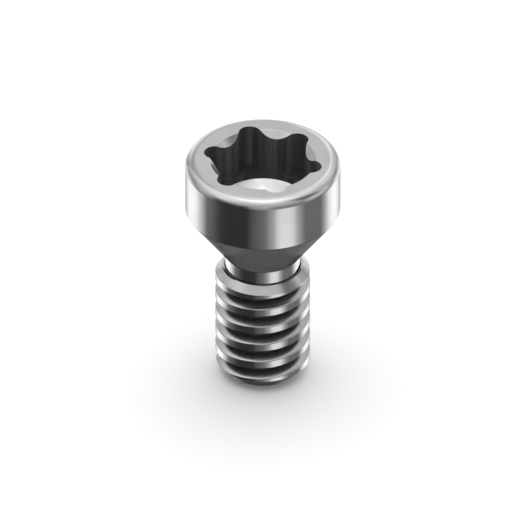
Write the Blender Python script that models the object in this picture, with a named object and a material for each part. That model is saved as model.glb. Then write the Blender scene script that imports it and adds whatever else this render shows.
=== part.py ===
# Dental abutment screw: one turned piece of titanium alloy.
# Head with a six-lobe drive socket, conical seat, plain neck and a short right-hand thread.
# Metres, +Z up. The flat tip stands on z = 0 and the axis is the Z axis.
import math

import bmesh
import bpy
from mathutils import Matrix, Vector

MM = 0.001

# Lengths along the axis
TOTAL_LENGTH = 4.18 * MM
HEAD_HEIGHT = 0.935 * MM         # top face to the start of the conical seat
SEAT_HEIGHT = 0.905 * MM         # axial length of the conical seat
NECK_LENGTH = 0.25 * MM
COLLAR_HEIGHT = 0.06 * MM        # ring at the neck's foot that the thread groove doesn't cut

# Diameters
HEAD_DIAMETER = 2.58 * MM
NECK_DIAMETER = 1.275 * MM
THREAD_DIAMETER = 1.58 * MM      # crests of an M1.6 fine thread, as turned
TIP_DIAMETER = 1.15 * MM

# Turned edges
RIM_ROUND_WIDTH = 0.185 * MM     # the rim's rounding, measured across
RIM_ROUND_HEIGHT = 0.128 * MM    # and down
SHOULDER_WIDTH = 0.0295 * MM     # flat ring round the neck's foot, up to the thread's chamfer
SHOULDER_CHAMFER_ANGLE = 43.0    # degrees from horizontal
TIP_CHAMFER_ANGLE = 47.0         # degrees from horizontal

# Thread, right hand, one start
THREAD_PITCH = 0.35 * MM
GROOVE_WIDTH = 0.20 * MM         # at the crests
FLANK_ANGLE = 30.0               # degrees, each flank to the plane across the axis
ROOT_RADIUS = 0.015 * MM
GROOVE_START_ANGLE = -120.0      # where the middle of the groove leaves the tip's plane

# Drive socket
SOCKET_LOBE_DIAMETER = 2.00 * MM     # across the tips of opposite lobes
SOCKET_WAIST_DIAMETER = 1.518 * MM   # across opposite waists
LOBE_RADIUS = 0.18 * MM              # round at each lobe's tip
LOBES = 6
SOCKET_DEPTH = 0.776 * MM            # to the flat floor of the lobes
COUNTERSINK_DIAMETER = 1.754 * MM
COUNTERSINK_ANGLE = 100.0            # degrees, both sides together
PILOT_DIAMETER = 1.50 * MM           # hole drilled before the lobes are broached
PILOT_EXTRA_DEPTH = 0.124 * MM       # the drill's shoulder below the floor of the lobes
DRILL_POINT_ANGLE = 118.0

# How finely the round forms are divided
TURN_STEPS = 48
THREAD_STEPS = 48
ROUND_STEPS = 5
ROOT_STEPS = 2
LOBE_STEPS = 5
WAIST_STEPS = 6
SHARP_EDGE_ANGLE = 25.0          # degrees between faces, below which an edge is shaded smooth

# How far the cutters reach past what they cut
CUTTER_REACH = 0.05 * MM


def rise(width, angle):
    """Height gained over a width by a slope given in degrees from horizontal."""
    return width * math.tan(math.radians(angle))


def arc(centre, radii, start, end, steps):
    """Points of an elliptical arc between two angles in degrees, both ends included."""
    points = []
    for i in range(steps + 1):
        a = math.radians(start + (end - start) * i / steps)
        points.append((centre[0] + radii[0] * math.cos(a), centre[1] + radii[1] * math.sin(a)))
    return points


def neck_foot():
    """Height of the neck's lower end above the tip."""
    return TOTAL_LENGTH - HEAD_HEIGHT - SEAT_HEIGHT - NECK_LENGTH


def shoulder_radius():
    """Outer radius of the flat ring round the neck's foot."""
    return NECK_DIAMETER / 2 + SHOULDER_WIDTH


def blank_profile():
    """Turned outline as (radius, height), from the bottom of the drilled hole, over the rim
    and down the outer side to the middle of the tip."""
    head_r = HEAD_DIAMETER / 2
    neck_r = NECK_DIAMETER / 2
    shoulder_r = shoulder_radius()
    thread_r = THREAD_DIAMETER / 2
    tip_r = TIP_DIAMETER / 2
    sink_r = COUNTERSINK_DIAMETER / 2
    pilot_r = PILOT_DIAMETER / 2

    top = TOTAL_LENGTH
    seat_top = top - HEAD_HEIGHT
    neck_top = seat_top - SEAT_HEIGHT
    neck_bottom = neck_foot()

    pilot_floor = top - SOCKET_DEPTH - PILOT_EXTRA_DEPTH
    drill_apex = pilot_floor - pilot_r / math.tan(math.radians(DRILL_POINT_ANGLE / 2))
    sink_floor = top - (sink_r - pilot_r) / math.tan(math.radians(COUNTERSINK_ANGLE / 2))

    rim_centre = (head_r - RIM_ROUND_WIDTH, top - RIM_ROUND_HEIGHT)
    rim = arc(rim_centre, (RIM_ROUND_WIDTH, RIM_ROUND_HEIGHT), 90, 0, ROUND_STEPS)

    return [
        (0.0, drill_apex),
        (pilot_r, pilot_floor),
        (pilot_r, sink_floor),
        (sink_r, top),
        *rim,
        (head_r, seat_top),
        (neck_r, neck_top),
        (neck_r, neck_bottom),
        (shoulder_r, neck_bottom),
        (thread_r, neck_bottom - rise(thread_r - shoulder_r, SHOULDER_CHAMFER_ANGLE)),
        (thread_r, rise(thread_r - tip_r, TIP_CHAMFER_ANGLE)),
        (tip_r, 0.0),
        (0.0, 0.0),
    ]


def new_object(name, mesh):
    obj = bpy.data.objects.new(name, mesh)
    bpy.context.collection.objects.link(obj)
    return obj


def turned_blank(name):
    """The profile spun once round the Z axis by a Screw modifier."""
    points = [Vector((r, 0.0, z)) for r, z in blank_profile()]
    mesh = bpy.data.meshes.new(name)
    mesh.from_pydata(points, [(i, i + 1) for i in range(len(points) - 1)], [])
    obj = new_object(name, mesh)
    screw = obj.modifiers.new("Turn", "SCREW")
    screw.axis = "Z"
    screw.angle = math.tau
    screw.steps = TURN_STEPS
    screw.render_steps = TURN_STEPS
    screw.use_merge_vertices = True
    screw.merge_threshold = 1e-7
    return obj


def groove_section():
    """Section of the groove in the plane of the axis, as (radius, height): two flanks, a round
    root between them, and a mouth that reaches past the crests."""
    thread_r = THREAD_DIAMETER / 2
    mouth_r = thread_r + CUTTER_REACH
    mouth_half = GROOVE_WIDTH / 2 + rise(CUTTER_REACH, FLANK_ANGLE)
    flank = math.radians(FLANK_ANGLE)
    sharp_r = thread_r - GROOVE_WIDTH / 2 / math.tan(flank)
    root_centre = (sharp_r + ROOT_RADIUS / math.sin(flank), 0.0)
    root = arc(root_centre, (ROOT_RADIUS, ROOT_RADIUS), 90 + FLANK_ANGLE, 270 - FLANK_ANGLE,
               ROOT_STEPS)
    return [(mouth_r, mouth_half), *root, (mouth_r, -mouth_half)]


def groove_cutter(name):
    """The groove's section swept up a right-hand helix, from below the tip to beside the neck."""
    section = groove_section()
    mouth_half = section[0][1]
    neck_bottom = neck_foot()
    turns_below = math.ceil(mouth_half / THREAD_PITCH * THREAD_STEPS) / THREAD_STEPS + 0.25
    turns_above = (neck_bottom + mouth_half + CUTTER_REACH) / THREAD_PITCH
    steps = math.ceil((turns_below + turns_above) * THREAD_STEPS)

    bm = bmesh.new()
    start = Matrix.Rotation(math.radians(GROOVE_START_ANGLE) - math.tau * turns_below, 4, "Z")
    start = Matrix.Translation((0, 0, -turns_below * THREAD_PITCH)) @ start
    verts = [bm.verts.new(start @ Vector((r, 0.0, z))) for r, z in section]
    face = bm.faces.new(verts)
    bmesh.ops.spin(
        bm,
        geom=[face],
        cent=(0, 0, 0),
        axis=(0, 0, 1),
        dvec=(0, 0, THREAD_PITCH / THREAD_STEPS),
        angle=math.tau * steps / THREAD_STEPS,
        steps=steps,
        use_duplicate=False,
    )
    bmesh.ops.recalc_face_normals(bm, faces=bm.faces)
    mesh = bpy.data.meshes.new(name)
    bm.to_mesh(mesh)
    bm.free()
    return new_object(name, mesh)


def collar(name):
    """Cylinder that keeps the groove off the ring at the neck's foot and off the neck, up to
    above the groove's end."""
    bm = bmesh.new()
    height = COLLAR_HEIGHT + GROOVE_WIDTH + 3 * CUTTER_REACH
    middle = neck_foot() - COLLAR_HEIGHT + height / 2
    bmesh.ops.create_cone(
        bm,
        cap_ends=True,
        segments=TURN_STEPS,
        radius1=shoulder_radius(),
        radius2=shoulder_radius(),
        depth=height,
        matrix=Matrix.Translation((0, 0, middle)),
    )
    mesh = bpy.data.meshes.new(name)
    bm.to_mesh(mesh)
    bm.free()
    return new_object(name, mesh)


def socket_outline():
    """The six-lobe outline as (x, y): a round at each lobe's tip, and a hollow round at each
    waist whose radius makes the two tangent."""
    tip_r = SOCKET_LOBE_DIAMETER / 2 - LOBE_RADIUS
    waist_r = SOCKET_WAIST_DIAMETER / 2
    half = math.pi / LOBES
    reach = tip_r * math.cos(half)
    waist_radius = (tip_r ** 2 + waist_r ** 2 - 2 * reach * waist_r - LOBE_RADIUS ** 2) / (
        2 * (LOBE_RADIUS + reach - waist_r))
    hollow_r = waist_r + waist_radius

    # Direction from the lobe's centre to the next hollow's centre, where the rounds meet
    to_hollow = math.atan2(hollow_r * math.sin(half), hollow_r * math.cos(half) - tip_r)
    lobe_half = math.degrees(to_hollow)
    hollow_half = lobe_half - 180 / LOBES

    points = []
    for k in range(LOBES):
        turn = Matrix.Rotation(k * 2 * half, 2)
        lobe = arc((tip_r, 0.0), (LOBE_RADIUS, LOBE_RADIUS), -lobe_half, lobe_half, LOBE_STEPS)
        hollow_centre = (hollow_r * math.cos(half), hollow_r * math.sin(half))
        inward = 180 + 180 / LOBES
        hollow = arc(hollow_centre, (waist_radius, waist_radius), inward + hollow_half,
                     inward - hollow_half, WAIST_STEPS)
        points += [turn @ Vector(p) for p in lobe + hollow[1:-1]]
    return points


def socket_cutter(name):
    """The six-lobe outline drawn down from above the top face to the socket's floor."""
    bm = bmesh.new()
    height = SOCKET_DEPTH + CUTTER_REACH
    floor = TOTAL_LENGTH - SOCKET_DEPTH
    face = bm.faces.new([bm.verts.new((p.x, p.y, floor)) for p in socket_outline()])
    drawn = bmesh.ops.extrude_face_region(bm, geom=[face])["geom"]
    upper = [v for v in drawn if isinstance(v, bmesh.types.BMVert)]
    bmesh.ops.translate(bm, vec=(0, 0, height), verts=upper)
    bmesh.ops.recalc_face_normals(bm, faces=bm.faces)
    mesh = bpy.data.meshes.new(name)
    bm.to_mesh(mesh)
    bm.free()
    return new_object(name, mesh)


def cut(target, cutter):
    """Takes the cutter's volume out of the target and hides the cutter."""
    boolean = target.modifiers.new(cutter.name, "BOOLEAN")
    boolean.operation = "DIFFERENCE"
    boolean.solver = "EXACT"
    boolean.object = cutter
    cutter.hide_render = True
    cutter.display_type = "WIRE"


def shade(obj):
    """Applies the cuts, then shades the round faces smooth and keeps the turned edges sharp."""
    depsgraph = bpy.context.evaluated_depsgraph_get()
    mesh = bpy.data.meshes.new_from_object(obj.evaluated_get(depsgraph))
    mesh.name = obj.name
    obj.modifiers.clear()
    obj.data = mesh
    mesh.shade_smooth()
    mesh.set_sharp_from_angle(angle=math.radians(SHARP_EDGE_ANGLE))


def titanium():
    """Bright turned titanium alloy."""
    material = bpy.data.materials.new("turned_titanium")
    material.use_nodes = True
    shader = material.node_tree.nodes["Principled BSDF"]
    shader.inputs["Base Color"].default_value = (0.62, 0.61, 0.60, 1.0)
    shader.inputs["Metallic"].default_value = 1.0
    shader.inputs["Roughness"].default_value = 0.22
    return material


def main():
    for obj in list(bpy.data.objects):
        bpy.data.objects.remove(obj)
    screw = turned_blank("abutment_screw")
    groove = groove_cutter("thread_groove")
    cut(groove, collar("neck_collar"))
    cut(screw, groove)
    cut(screw, socket_cutter("drive_socket"))
    shade(screw)
    screw.data.materials.append(titanium())


main()
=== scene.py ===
import math

import bmesh
import bpy
import numpy as np
from mathutils import Matrix, Vector


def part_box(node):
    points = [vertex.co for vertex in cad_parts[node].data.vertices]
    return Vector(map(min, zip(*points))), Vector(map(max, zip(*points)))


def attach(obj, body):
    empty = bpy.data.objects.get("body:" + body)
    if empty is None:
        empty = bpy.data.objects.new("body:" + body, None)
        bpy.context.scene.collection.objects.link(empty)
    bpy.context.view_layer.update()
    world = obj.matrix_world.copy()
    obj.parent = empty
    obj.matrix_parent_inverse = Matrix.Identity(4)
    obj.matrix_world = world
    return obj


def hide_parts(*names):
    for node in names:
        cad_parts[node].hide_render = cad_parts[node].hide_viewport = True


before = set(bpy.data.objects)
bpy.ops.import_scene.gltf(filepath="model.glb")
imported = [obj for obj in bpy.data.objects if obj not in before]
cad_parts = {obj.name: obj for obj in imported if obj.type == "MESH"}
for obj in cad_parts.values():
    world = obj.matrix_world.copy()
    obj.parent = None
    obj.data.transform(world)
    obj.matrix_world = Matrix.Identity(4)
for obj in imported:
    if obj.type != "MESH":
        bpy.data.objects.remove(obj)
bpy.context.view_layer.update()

mm = 0.001
screwLow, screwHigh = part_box("abutment_screw")

# Lengths in metres, angles in degrees
screw = {
    "headRadius": (screwHigh.x - screwLow.x) / 2,
    "length": screwHigh.z - screwLow.z,
    "headHeight": 0.935 * mm,        # top face to the start of the conical seat
    "seatHeight": 0.905 * mm,
    "neckLength": 0.25 * mm,
    "neckRadius": 0.6375 * mm,
    "shoulderRadius": 0.667 * mm,    # where the thread's upper chamfer starts
    "collarHeight": 0.06 * mm,       # ring at the neck's foot that the groove doesn't cut
    "rimWidth": 0.185 * mm,          # the rim's rounding, across
    "rimHeight": 0.128 * mm,         # and down
    "tipRadius": 0.575 * mm,
    "tipChamfer": 47.0,              # from horizontal
    "shoulderChamfer": 43.0,
    "edgeRound": 0.010 * mm,         # broken edges of the turned parts
    "footRound": 0.005 * mm,         # in the corner at the neck's foot
    "tipInset": 0.97,                # row beside the tip's edge, as a share of its radius
    "columns": 336,                  # a multiple of the six lobes
    "rimSteps": 16,
    "weld": 1e-5 * mm,               # points closer than this become one
    "sliver": 1e-6 * mm,             # edges shorter than this go
    "sharpAngle": 28.0,              # edges that turn more than this don't shade smooth
}

outline = {
    "roundSteps": 4,
    "roundShare": 0.3,               # most of a side that a round takes
    "flatStart": 2.0,                # from a corner to the row beside its round, in sizes of the round
    "flatShare": 0.45,               # most of a side between the two
}


# Rise over run of an angle from horizontal, tan angle
def slope(angle):
    return math.tan(math.radians(angle))


# Rows of an outline through corners. A corner is radius + i height, one number or one for each column.
# Its round is (1-t)^2 a + 2t(1-t) corner + t^2 b between the points a and b on its two sides. One more row
# lies beside each round and beside both ends, so that the flats between the rounds shade flat.
def roundedRows(corners, rounds, columns):
    corners = [np.broadcast_to(np.asarray(c, complex), columns) for c in corners]
    t = np.linspace(0, 1, outline["roundSteps"] + 1)[:, None]

    def towards(corner, other, size, most):
        step = other - corner
        return corner + step * np.minimum(size / np.abs(step), most)

    def beside(corner, other, size):
        return towards(corner, other, outline["flatStart"] * size, outline["flatShare"])[None]

    rows = [corners[0][None], beside(corners[0], corners[1], rounds[0])]
    for before, corner, after, size in zip(corners, corners[1:], corners[2:], rounds):
        a = towards(corner, before, size, outline["roundShare"])
        b = towards(corner, after, size, outline["roundShare"])
        rows.append(beside(corner, before, size))
        rows.append((1 - t) ** 2 * a + 2 * t * (1 - t) * corner + t ** 2 * b)
        rows.append(beside(corner, after, size))
    rows += [beside(corners[-1], corners[-2], rounds[-1]), corners[-1][None]]
    return np.concatenate(rows)


socket = {
    "lobeTip": 1.0 * mm,             # radius over the tips of the lobes
    "waist": 0.759 * mm,             # radius at the middle of the hollows between them
    "lobeRound": 0.18 * mm,
    "lobes": 6,
    "depth": 0.776 * mm,
    "sinkRadius": 0.877 * mm,        # countersink at the mouth
    "sinkSlope": 40.0,               # from horizontal
    "pilotRadius": 0.75 * mm,        # hole drilled before the lobes are broached
    "pilotStep": 0.124 * mm,         # the drill's shoulder below the floor of the lobes
    "drillSlope": 31.0,
    "edgeRound": 0.006 * mm,         # at the mouth; the broached edges below are sharp
    "lipWidth": 0.018 * mm,          # least room for that round outside the wall
}


# Distance from the axis to the six-lobe outline. Folded to the nearest lobe's axis, the lobe's round of
# radius p about a centre at c is c cos a + sqrt(p^2 - c^2 sin^2 a). Past where the rounds touch, the waist's
# hollow round of radius q about a centre at h is h cos b - sqrt(q^2 - h^2 sin^2 b), with b measured from the
# middle of the waist. They touch, so h^2 + c^2 - 2 h c cos half = (p + q)^2, which gives q.
def lobeRadius(angle):
    p = socket["lobeRound"]
    c = socket["lobeTip"] - p
    half = math.pi / socket["lobes"]
    w = socket["waist"]
    reach = c * math.cos(half)
    q = (c * c + w * w - 2 * reach * w - p * p) / (2 * (p + reach - w))
    h = w + q
    a = np.abs((angle + half) % (2 * half) - half)
    b = half - a
    meet = math.atan2(h * math.sin(half), h * math.cos(half) - c)
    touch = math.atan2(p * math.sin(meet), c + p * math.cos(meet))
    lobe = c * np.cos(a) + np.sqrt(np.maximum(p * p - (c * np.sin(a)) ** 2, 0))
    hollow = h * np.cos(b) - np.sqrt(np.maximum(q * q - (h * np.sin(b)) ** 2, 0))
    return np.where(a <= touch, lobe, hollow)


# Socket and top face, from the bottom of the drilled hole outwards. The wall stands on the six-lobe
# outline up to min(top, top - (sink radius - wall radius) x sink slope), the height of the countersink.
def socketRows(angle):
    top = screw["length"]
    wall = lobeRadius(angle)
    pilot = socket["pilotRadius"]
    lobeFloor = top - socket["depth"]
    pilotFloor = lobeFloor - socket["pilotStep"]
    sink = socket["sinkRadius"]
    mouth = top - np.maximum(sink - wall, 0) * slope(socket["sinkSlope"])
    lip = np.maximum(sink, wall + socket["lipWidth"])
    edge = socket["edgeRound"]
    corners = [
        1j * (pilotFloor - pilot * slope(socket["drillSlope"])),
        pilot + 1j * pilotFloor,
        pilot + 1j * lobeFloor,
        wall + 1j * lobeFloor,
        wall + 1j * mouth,
        lip + 1j * top,
        screw["headRadius"] - screw["rimWidth"] + 1j * top,
    ]
    return roundedRows(corners, [0, 0, 0, edge, edge], len(angle))


# Rim: a quarter of an ellipse, centre + width sin t + i height cos t
def rimRows(columns):
    t = np.linspace(0, math.pi / 2, screw["rimSteps"] + 1)[1:-1, None]
    centre = screw["headRadius"] - screw["rimWidth"] + 1j * (screw["length"] - screw["rimHeight"])
    rim = centre + screw["rimWidth"] * np.sin(t) + 1j * screw["rimHeight"] * np.cos(t)
    return np.broadcast_to(rim, (len(t), columns))


# Height of the neck's foot, length - head - seat - neck
def neckFoot():
    return screw["length"] - screw["headHeight"] - screw["seatHeight"] - screw["neckLength"]


# Outer side of the head, the conical seat and the neck, down to the thread's shoulder: straight lines
# between corners
def headRows(columns):
    seatTop = screw["length"] - screw["headHeight"]
    neckTop = seatTop - screw["seatHeight"]
    foot = neckFoot()
    neck = screw["neckRadius"]
    corners = [
        screw["headRadius"] + 1j * (screw["length"] - screw["rimHeight"]),
        screw["headRadius"] + 1j * seatTop,
        neck + 1j * neckTop,
        neck + 1j * foot,
        screw["shoulderRadius"] + 1j * foot,
    ]
    edge = screw["edgeRound"]
    return roundedRows(corners, [edge, edge, screw["footRound"]], columns)


thread = {
    "crestRadius": 0.79 * mm,
    "pitch": 0.35 * mm,
    "grooveWidth": 0.20 * mm,        # at the crests
    "flankAngle": 30.0,              # each flank to the plane across the axis
    "rootRadius": 0.015 * mm,
    "startAngle": -120.0,            # where the middle of the groove leaves the tip's plane
    "crestRound": 0.012 * mm,
    "landRows": 3,
    "rootRows": 7,
}


# One pitch of the groove's section as radius + i offset, from half a pitch above the groove's middle to
# half a pitch below. The root is an arc, centre - radius e^(i t), and the crests' edges are rounded.
def grooveSection():
    crest = thread["crestRadius"]
    half = thread["pitch"] / 2
    mouth = thread["grooveWidth"] / 2
    flank = math.radians(thread["flankAngle"])
    root = thread["rootRadius"]
    centre = crest - mouth / math.tan(flank) + root / math.sin(flank)
    t = np.linspace(flank - math.pi / 2, math.pi / 2 - flank, thread["rootRows"])
    arc = centre - root * np.exp(1j * t)
    corners = [crest + 1j * half, crest + 1j * mouth, arc[0]]
    upper = roundedRows(corners, [thread["crestRound"]], 1)[:, 0]
    besideRound = 2                  # row 0 is the middle of the land, and row 1 lies next to it
    land = crest + 1j * np.linspace(half, upper[besideRound].imag, thread["landRows"] + 1)[:-1]
    upper = np.concatenate([land, upper[besideRound:-1]])
    return np.concatenate([upper, arc, np.conj(upper[::-1])[:-1]])


# Radius of the chamfers at the thread's two ends, the smaller of tip + height / slope and
# shoulder + (foot - height) / slope
def chamferRadius(height):
    atTip = screw["tipRadius"] + height / slope(screw["tipChamfer"])
    atNeck = screw["shoulderRadius"] + (neckFoot() - height) / slope(screw["shoulderChamfer"])
    return np.minimum(atTip, atNeck)


# Thread: every row follows the helix, height = pitch x turn + offset, and is cut off at both ends by the
# chamfers, radius = min(groove, chamfer). Where a column crosses a chamfer its nearest row moves to the
# crossing, so that the edge runs clean round the screw.
def threadRows(angle):
    section = grooveSection()
    pitch = thread["pitch"]
    foot = neckFoot()
    turn = (angle - math.radians(thread["startAngle"])) / math.tau
    highest = math.ceil(foot / pitch) + 1
    lowest = -2
    turns = np.arange(highest, lowest - 1, -1)    # from above the neck's foot to below the tip
    offset = (turns[:, None] * 1j * pitch + section[None]).ravel()[:, None]
    rows = offset + 1j * pitch * turn[None]

    gap = rows.real - chamferRadius(rows.imag)
    crosses = gap[:-1] * gap[1:] < 0
    share = np.where(crosses, gap[:-1] / np.where(crosses, gap[:-1] - gap[1:], 1), 0)
    crossing = rows[:-1] + share * (rows[1:] - rows[:-1])
    upperMoves = crosses & (share < 0.5)
    lowerMoves = crosses & (share >= 0.5)
    rows[:-1][upperMoves] = crossing[upperMoves]
    rows[1:][lowerMoves] = crossing[lowerMoves]

    height = np.clip(rows.imag, 0, foot)
    onCollar = height > foot - screw["collarHeight"]
    radius = np.maximum(rows.real, np.where(onCollar, screw["shoulderRadius"], 0))
    return np.minimum(radius, chamferRadius(height)) + 1j * height, len(section)


# Points (radius cos a, radius sin a, height) of rows of radius + i height
def turned(rows, angle):
    return np.stack([rows.real * np.cos(angle), rows.real * np.sin(angle), rows.imag], -1)


# Two triangles for each cell between rows and columns, split along the diagonal that stands further
# from the axis. After the last column comes the first, shift rows higher.
def gridTriangles(rows, shift):
    count, columns = rows.shape
    index = np.arange(count * columns).reshape(count, columns)
    wrapped = np.concatenate([index[:1, :1].repeat(shift, 0), index[:count - shift, :1]])
    right = np.concatenate([index[:, 1:], wrapped], 1)
    a, b, c, d = index[:-1], index[1:], right[1:], right[:-1]
    radius = rows.real.ravel()
    falling = (radius[a] + radius[c] >= radius[b] + radius[d])[..., None]
    one = np.where(falling, np.stack([a, b, c], -1), np.stack([a, b, d], -1))
    two = np.where(falling, np.stack([a, c, d], -1), np.stack([b, c, d], -1))
    return np.concatenate([one.reshape(-1, 3), two.reshape(-1, 3)])


# The whole screw in three bands of rows, each from where the last one ends: the socket, the rim and the
# head down to the shoulder, then the thread, then the flat tip from its edge to its middle
def buildScrew():
    columns = screw["columns"]
    angle = np.arange(columns) * math.tau / columns
    above = np.concatenate([socketRows(angle), rimRows(columns), headRows(columns)])
    helix, sectionRows = threadRows(angle)
    tip = screw["tipRadius"]
    below = np.broadcast_to(np.array([[tip], [screw["tipInset"] * tip], [0]], complex), (3, columns))
    points, triangles, start = [], [], 0
    for rows, shift in ((above, 0), (helix, sectionRows), (below, 0)):
        points.append(turned(rows, angle).reshape(-1, 3))
        triangles.append(gridTriangles(rows, shift) + start)
        start += rows.size
    mesh = bpy.data.meshes.new("turned_screw")
    mesh.from_pydata(np.concatenate(points), [], np.concatenate(triangles))
    bm = bmesh.new()
    bm.from_mesh(mesh)
    bmesh.ops.remove_doubles(bm, verts=bm.verts, dist=screw["weld"])
    bmesh.ops.dissolve_degenerate(bm, edges=bm.edges, dist=screw["sliver"])
    bmesh.ops.recalc_face_normals(bm, faces=bm.faces)
    openEdges = sum(not e.is_manifold for e in bm.edges)
    volume = bm.calc_volume() / mm ** 3
    print(f"screw: {len(bm.faces)} triangles, {openEdges} open edges, {volume:.3f} cubic mm")
    bm.to_mesh(mesh)
    bm.free()
    mesh.shade_smooth()
    mesh.set_sharp_from_angle(angle=math.radians(screw["sharpAngle"]))
    piece = bpy.data.objects.new("turned_screw", mesh)
    bpy.context.scene.collection.objects.link(piece)
    return piece


# One socket of a node tree. An expression on wires and numbers adds its Math nodes.
class Wire:
    def __init__(self, tree, socket=None):
        self.tree = tree
        self.socket = socket

    # One node of a kind: its settings first, then the value or the wire of each socket
    def node(self, kind, settings=None, sockets=None, out=0):
        made = self.tree.nodes.new(kind)
        for name, value in (settings or {}).items():
            setattr(made, name, value)
        for name, value in (sockets or {}).items():
            if isinstance(value, Wire):
                self.tree.links.new(value.socket, made.inputs[name])
            else:
                made.inputs[name].default_value = value
        return Wire(self.tree, made.outputs[out])

    # The wires of a vector's three parts
    def parts(self):
        split = self.node("ShaderNodeSeparateXYZ", sockets={0: self})
        return [Wire(self.tree, part) for part in split.socket.node.outputs]

    def maths(self, operation, *values):
        return self.node("ShaderNodeMath", {"operation": operation}, dict(enumerate(values)))

    def __add__(self, other):
        return self.maths("ADD", self, other)

    def __sub__(self, other):
        return self.maths("SUBTRACT", self, other)

    def __mul__(self, other):
        return self.maths("MULTIPLY", self, other)

    def __truediv__(self, other):
        return self.maths("DIVIDE", self, other)

    def __radd__(self, other):
        return self.maths("ADD", other, self)

    def __rsub__(self, other):
        return self.maths("SUBTRACT", other, self)

    def __rmul__(self, other):
        return self.maths("MULTIPLY", other, self)

    def root(self):
        return self.maths("SQRT", self)

    def atLeast(self, least):
        return self.maths("MAXIMUM", self, least)

    def atMost(self, most):
        return self.maths("MINIMUM", self, most)

    # 0 below low, 1 above high and a smooth step between
    def step(self, low, high):
        smooth = {"interpolation_type": "SMOOTHSTEP"}
        return self.node("ShaderNodeMapRange", smooth, {"Value": self, "From Min": low, "From Max": high})


titanium = {
    "colour": (0.715, 0.715, 0.715),
    "darker": (0.655, 0.655, 0.655),
    "roughness": 0.07,
    "roughnessSpread": 0.03,
    "turningMark": 0.012 * mm,       # feed of the turning tool
    "markHeight": 0.002 * mm,
    "markDepth": 0.05,               # strength of the marks
    "drillMark": 0.035 * mm,         # coarser lines on the drilled cone and on the thread's chamfers
    "drillDepth": 5.0,               # times the turning marks
    "broachLines": 60,               # noise cells round the socket
    "markDetail": 2.0,
    "patchesPerMm": 1.5,
    "patchDetail": 3.0,
    "contrast": (0.35, 0.65),        # noise over which a line or a patch comes in
    "blend": 0.012 * mm,             # over which one finish runs into the next
    "sloped": (0.3, 0.6),            # rise of the normal from an upright face to a sloped one
    "level": (0.9, 0.98),            # and from a sloped face to a level one
}

# Finishes apart from the bright turned one: share of dull surface and roughness added
finishes = {
    "seat": {"dull": 0.17, "rough": 0.0},
    "groove": {"dull": 0.055, "rough": 0.16},
    "chamfer": {"dull": 0.05, "rough": 0.08},
    "shoulder": {"dull": 0.05, "rough": 0.05},
    "socket": {"dull": 0.04, "rough": 0.25},
    "walls": {"dull": 0.04, "rough": 0.0},
    "streaks": {"dull": 0.10, "rough": 0.0},
    "drilled": {"dull": 0.0, "rough": 0.02},
    "sink": {"dull": 0.17, "rough": 0.06},
}


# Where each finish lies, 0 to 1, from the height, the radius and the normal's rise. The groove is what lies
# deeper than the crests and chamfers, min(crest, tip + z / slope, shoulder + (foot - z) / slope) - radius.
# The socket's walls and the floor of its lobes end at the drilled cone below and at the countersink above.
def finishMasks(z, radius, rise, lines):
    soft = titanium["blend"]
    sloped = rise.step(*titanium["sloped"])
    level = rise.step(*titanium["level"])
    top = screw["length"]
    seatTop = top - screw["headHeight"]
    seatFoot = seatTop - screw["seatHeight"]
    seat = z.step(seatFoot - soft, seatFoot + soft) * (1 - z.step(seatTop - soft, seatTop + soft))

    foot = neckFoot()
    crest = thread["crestRadius"]
    reachesFoot = z.step(foot - soft, foot)
    pastFoot = z.step(foot, foot + soft)
    below = 1 - reachesFoot
    atTip = z / slope(screw["tipChamfer"]) + screw["tipRadius"]
    atNeck = (foot - z) / slope(screw["shoulderChamfer"]) + screw["shoulderRadius"]
    ends = atTip.atMost(atNeck)
    groove = (ends.atMost(crest) - radius).step(0, 2 * soft) * below * z.step(0, soft)
    chamfer = (1 - ends.step(crest - soft, crest)) * (1 - groove) * below
    shoulder = level * reachesFoot * (1 - pastFoot)

    coneTop = top - socket["depth"] - socket["pilotStep"]
    sinkFloor = top - (socket["sinkRadius"] - socket["waist"]) * slope(socket["sinkSlope"])
    inside = 1 - radius.step(socket["lobeTip"], socket["lobeTip"] + soft)
    aboveCone = z.step(coneTop - soft, coneTop + soft)
    high = z.step(sinkFloor - soft, sinkFloor) * sloped
    broached = inside * aboveCone * (1 - high)
    walls = broached * (1 - sloped)
    drilled = inside * (1 - aboveCone) * pastFoot
    sink = inside * high * (1 - level)
    return {"seat": seat, "groove": groove, "chamfer": chamfer, "shoulder": shoulder,
            "socket": broached, "walls": walls, "streaks": walls * lines, "drilled": drilled, "sink": sink}


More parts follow.
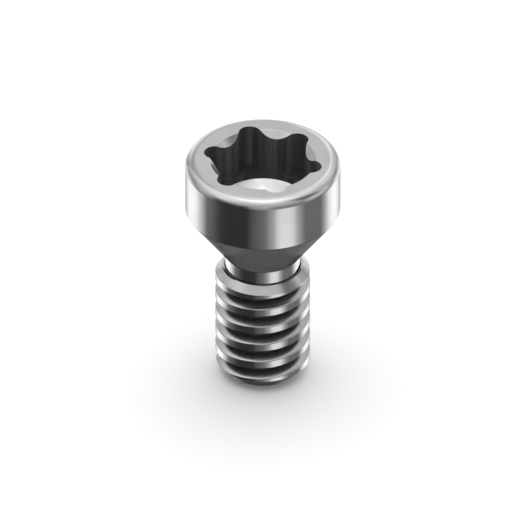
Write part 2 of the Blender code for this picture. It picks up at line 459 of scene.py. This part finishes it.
# Turned titanium. The turning tool's marks are noise along radius + height, which changes over every turned
# face. The coarser lines are noise along radius - height, the broach's lines are noise round the socket, and
# a wider noise dulls the metal in soft patches.
def titaniumMaterial():
    material = bpy.data.materials.new("turned_titanium")
    material.use_nodes = True
    tree = material.node_tree
    shader = tree.nodes["Principled BSDF"]
    wire = Wire(tree)
    place = wire.node("ShaderNodeTexCoord", out="Object")
    x, y, z = place.parts()
    rise = wire.node("ShaderNodeTexCoord", out="Normal").parts()[2]
    radius = (x * x + y * y).root()
    around = wire.node("ShaderNodeVectorMath", {"operation": "NORMALIZE"},
                       {0: wire.node("ShaderNodeCombineXYZ", {}, {"X": x, "Y": y, "Z": 0.0})})

    def linesAlong(distance):
        return wire.node("ShaderNodeTexNoise", {"noise_dimensions": "1D"},
                         {"W": distance, "Scale": 1.0, "Detail": titanium["markDetail"]})

    def noiseOver(vector, scale, detail):
        return wire.node("ShaderNodeTexNoise", {}, {"Vector": vector, "Scale": scale, "Detail": detail})

    broach = noiseOver(around, titanium["broachLines"] / math.tau, titanium["markDetail"])
    masks = finishMasks(z, radius, rise, broach.step(*titanium["contrast"]))
    fine = linesAlong((radius + z) / titanium["turningMark"])
    coarse = linesAlong((radius - z) / titanium["drillMark"])
    marks = fine + coarse * (masks["drilled"] + masks["chamfer"]) * titanium["drillDepth"]
    patches = noiseOver(place, titanium["patchesPerMm"] / mm, titanium["patchDetail"])
    bright = patches.step(*titanium["contrast"])
    bump = wire.node("ShaderNodeBump", {},
                     {"Height": marks,
                      "Strength": titanium["markDepth"],
                      "Distance": titanium["markHeight"]})
    colour = wire.node("ShaderNodeMix", {"data_type": "RGBA"},    # 0 is the factor, 6 and 7 are the colours
                       {0: bright, 6: (*titanium["darker"], 1), 7: (*titanium["colour"], 1)}, out=2)
    roughness = titanium["roughness"] + titanium["roughnessSpread"] * (bright - 0.5)
    metallic = 1
    for name, finish in finishes.items():
        roughness = roughness + finish["rough"] * masks[name]
        metallic = metallic - finish["dull"] * masks[name]
    tree.links.new(colour.socket, shader.inputs["Base Color"])
    tree.links.new(metallic.socket, shader.inputs["Metallic"])
    tree.links.new(roughness.socket, shader.inputs["Roughness"])
    tree.links.new(bump.socket, shader.inputs["Normal"])
    print(f"titanium: {len(finishes)} finishes besides the turned one")
    return material


# Camera at the photo's angle: far away with a long lens, because the photo shows no perspective
cameraPlace = {
    "azimuth": 14.6,
    "elevation": 34.8,
    "pixelsPerMm": 60.4,
    "pictureWidth": 512,
    "topCentre": (262.73, 159.36),   # pixel of the middle of the top face
    "lens": 1600.0,
    "sensor": 36.0,
    "clip": (0.1, 3.0),              # nearest and furthest that is seen, as shares of the distance
}


# The aim point lies on the picture's axis: top centre moved by the pixels between it and the middle
def addCamera():
    a = math.radians(cameraPlace["azimuth"])
    e = math.radians(cameraPlace["elevation"])
    back = Vector((math.sin(a) * math.cos(e), -math.cos(a) * math.cos(e), math.sin(e)))
    right = Vector((math.cos(a), math.sin(a), 0))
    up = back.cross(right)
    middle = cameraPlace["pictureWidth"] / 2
    pixel = mm / cameraPlace["pixelsPerMm"]
    across = (middle - cameraPlace["topCentre"][0]) * pixel
    down = (middle - cameraPlace["topCentre"][1]) * pixel
    aim = Vector((0, 0, screw["length"])) + across * right - down * up
    distance = cameraPlace["pictureWidth"] * pixel * cameraPlace["lens"] / cameraPlace["sensor"]
    data = bpy.data.cameras.new("camera")
    data.lens = cameraPlace["lens"]
    data.sensor_width = cameraPlace["sensor"]
    data.clip_start = cameraPlace["clip"][0] * distance
    data.clip_end = cameraPlace["clip"][1] * distance
    camera = bpy.data.objects.new("camera", data)
    turn = back.to_track_quat("Z", "Y").to_matrix().to_4x4()
    camera.matrix_world = Matrix.Translation(aim + distance * back) @ turn
    bpy.context.scene.collection.objects.link(camera)
    bpy.context.scene.camera = camera


studio = {
    "floorSize": 120 * mm,
    "floorColour": (0.9, 0.9, 0.9),
    "sunStrength": 1.85,
    "sunSpread": 100.0,
    "sunTilt": 20.0,                 # from overhead
    "sunAzimuth": 165.0,             # from the camera's side
}


# A flat matt square
def addFloor():
    half = studio["floorSize"] / 2
    mesh = bpy.data.meshes.new("floor")
    corners = [(-half, -half, 0), (half, -half, 0), (half, half, 0), (-half, half, 0)]
    mesh.from_pydata(corners, [], [(0, 1, 2, 3)])
    floor = bpy.data.objects.new("floor", mesh)
    material = bpy.data.materials.new("pale_floor")
    material.use_nodes = True
    shader = material.node_tree.nodes["Principled BSDF"]
    shader.inputs["Base Color"].default_value = (*studio["floorColour"], 1)
    shader.inputs["Roughness"].default_value = 1.0
    shader.inputs["Specular IOR Level"].default_value = 0.0
    mesh.materials.append(material)
    bpy.context.scene.collection.objects.link(floor)
    floor.visible_glossy = False     # the metal mirrors the studio, as in the photo, and not the floor


# Plain light from overhead and a little behind, from (sin t sin a, -sin t cos a, cos t). The metal doesn't
# mirror it.
def addSun():
    t = math.radians(studio["sunTilt"])
    a = math.radians(studio["sunAzimuth"] + cameraPlace["azimuth"])
    place = Vector((math.sin(t) * math.sin(a), -math.sin(t) * math.cos(a), math.cos(t)))
    data = bpy.data.lights.new("overhead", "SUN")
    data.energy = studio["sunStrength"]
    data.angle = math.radians(studio["sunSpread"])
    sun = bpy.data.objects.new("overhead", data)
    sun.rotation_euler = place.to_track_quat("Z", "Y").to_euler()
    sun.visible_glossy = False
    bpy.context.scene.collection.objects.link(sun)


# Studio round the metal. Each soft box is a window in direction: smooth steps of the cosine of the angle
# from its middle and of the height of the direction. Its level is added to a base that rises with height
# in steps, and a negative level is a black flag. Azimuth, half width and soft edge are in degrees, from the
# camera's side. Low, high and edge are heights of a direction, -1 straight down and 1 straight up.
softBoxes = {
    "left strip": dict(azimuth=-125, half=15, soft=20, low=-0.65, high=-0.55, edge=0.05, level=0.65),
    "right strip": dict(azimuth=125, half=15, soft=15, low=-0.65, high=-0.55, edge=0.05, level=0.45),
    "front strip": dict(azimuth=35, half=3, soft=30, low=-0.65, high=-0.55, edge=0.1, level=0.44),
    "front core": dict(azimuth=35, half=0, soft=20, low=-0.65, high=-0.55, edge=0.1, level=0.44),
    "edge flag": dict(azimuth=180, half=20, soft=5, low=-0.65, high=-0.55, edge=0.05, level=-0.15),
    "front flag": dict(azimuth=-40, half=30, soft=25, low=-0.65, high=0.5, edge=0.25, level=-0.14),
    "front gap": dict(azimuth=-5, half=10, soft=10, low=-0.5, high=0.4, edge=0.2, level=0.17),
    "left wall": dict(azimuth=-150, half=35, soft=10, low=-0.6, high=0.05, edge=0.2, level=0.47),
    "right wall": dict(azimuth=140, half=20, soft=15, low=-0.65, high=0.05, edge=0.25, level=0.6),
    "back low": dict(azimuth=180, half=15, soft=10, low=-0.6, high=-0.2, edge=0.1, level=0.3),
    "right flag": dict(azimuth=80, half=12, soft=15, low=0.35, high=0.95, edge=0.25, level=-0.35),
    "right side": dict(azimuth=85, half=15, soft=15, low=-0.35, high=0.65, edge=0.25, level=0.25),
    "left side": dict(azimuth=-90, half=10, soft=15, low=-0.4, high=0.45, edge=0.25, level=0.15),
    "back wall": dict(azimuth=175, half=30, soft=30, low=-0.05, high=1.2, edge=0.25, level=0.25),
    "left top": dict(azimuth=-105, half=40, soft=20, low=0.65, high=0.9, edge=0.2, level=0.3),
    "overhead": dict(azimuth=160, half=100, soft=60, low=0.95, high=1.5, edge=0.1, level=0.38),
    "zenith": dict(azimuth=0, half=110, soft=60, low=1.0, high=1.5, edge=0.05, level=0.6),
    "back left flag": dict(azimuth=-175, half=25, soft=5, low=0.45, high=0.6, edge=0.2, level=-0.2),
    "left rim flag": dict(azimuth=-160, half=10, soft=10, low=0.3, high=0.85, edge=0.1, level=-0.17),
    "left rim line": dict(azimuth=-160, half=5, soft=10, low=0.1, high=0.4, edge=0.15, level=0.3),
    "left rim shade": dict(azimuth=-150, half=5, soft=5, low=-0.2, high=0.3, edge=0.15, level=-0.25),
    "back right flag": dict(azimuth=140, half=10, soft=10, low=0.15, high=0.55, edge=0.2, level=-0.15),
    "right rim line": dict(azimuth=170, half=4, soft=4, low=0.15, high=0.7, edge=0.1, level=0.25),
    "right rim shade": dict(azimuth=155, half=5, soft=5, low=-0.1, high=0.2, edge=0.15, level=-0.25),
}

# Light from straight below, and the steps in which it rises: from, to and what is gained
base = {
    "nadir": 0.03,
    "steps": [(-0.7, -0.6, 0.1), (-0.55, -0.45, 0.05), (-0.1, 0.7, 0.2), (0.7, 1.0, 0.18)],
    "least": 0.01,
    "gain": 1.43,
    "pole": 1e-4,                    # least level part of a direction, because facing is divided by it
}


# The world: the studio's light in every direction, and plain white where the camera looks past the floor
def addStudio():
    world = bpy.data.worlds.new("studio")
    bpy.context.scene.world = world
    world.use_nodes = True
    tree = world.node_tree
    wire = Wire(tree)
    x, y, z = wire.node("ShaderNodeTexCoord", out="Generated").parts()
    across = (x * x + y * y).root().atLeast(base["pole"])
    light = base["nadir"]
    for low, high, gained in base["steps"]:
        light = light + gained * z.step(low, high)
    for box in softBoxes.values():
        a = math.radians(box["azimuth"] + cameraPlace["azimuth"])
        facing = (x * math.sin(a) - y * math.cos(a)) / across
        outer = math.cos(math.radians(min(box["half"] + box["soft"], 180)))
        inner = math.cos(math.radians(max(box["half"] - box["soft"], 0)))
        above = z.step(box["low"] - box["edge"], box["low"] + box["edge"])
        past = z.step(box["high"] - box["edge"], box["high"] + box["edge"])
        light = light + box["level"] * facing.step(outer, inner) * above * (1 - past)
    light = (light * base["gain"]).atLeast(base["least"])
    byCamera = wire.node("ShaderNodeLightPath", out="Is Camera Ray")
    strength = light * (1 - byCamera) + byCamera
    background = tree.nodes["Background"]
    background.inputs["Color"].default_value = (1, 1, 1, 1)
    tree.links.new(strength.socket, background.inputs["Strength"])


piece = buildScrew()
piece.data.materials.append(titaniumMaterial())
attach(piece, "root")
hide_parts("abutment_screw")
addFloor()
addSun()
addStudio()
addCamera()
bpy.context.scene.view_settings.view_transform = "Standard"
bpy.context.scene.cycles.glossy_bounces = 0    # the socket and the groove stay dark inside
print("studio, floor and camera: set")
